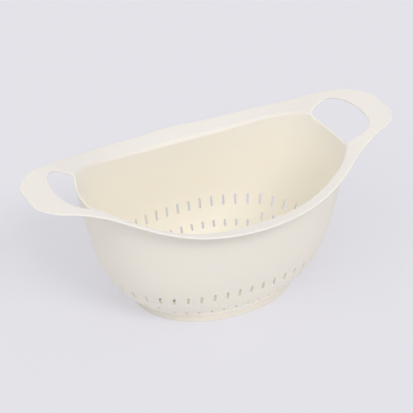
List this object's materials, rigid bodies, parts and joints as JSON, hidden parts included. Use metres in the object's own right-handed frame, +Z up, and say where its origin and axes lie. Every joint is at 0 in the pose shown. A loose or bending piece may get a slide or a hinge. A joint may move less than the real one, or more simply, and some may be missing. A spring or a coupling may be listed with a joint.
{
  "type": "colander",
  "caption": "Oval one-piece plastic colander with a flared brim rising into loop handles, slotted lower wall and floor, and a foot ring.",
  "frame": {"origin": "on the table, under the middle of the bowl", "axes": "+X from handle to handle, +Y across the bowl, +Z up"},
  "size_m": [0.4004, 0.216, 0.1613],
  "materials": {
    "moulding": "cream moulded plastic, satin"
  },
  "bodies": {
    "root": {"foot_ring": "moulding", "drain_floor": "moulding", "drain_band": "moulding", "bowl_wall": "moulding", "rim_front": "moulding", "rim_back": "moulding", "handle_left": "moulding", "handle_right": "moulding"}
  },
  "joints": []
}
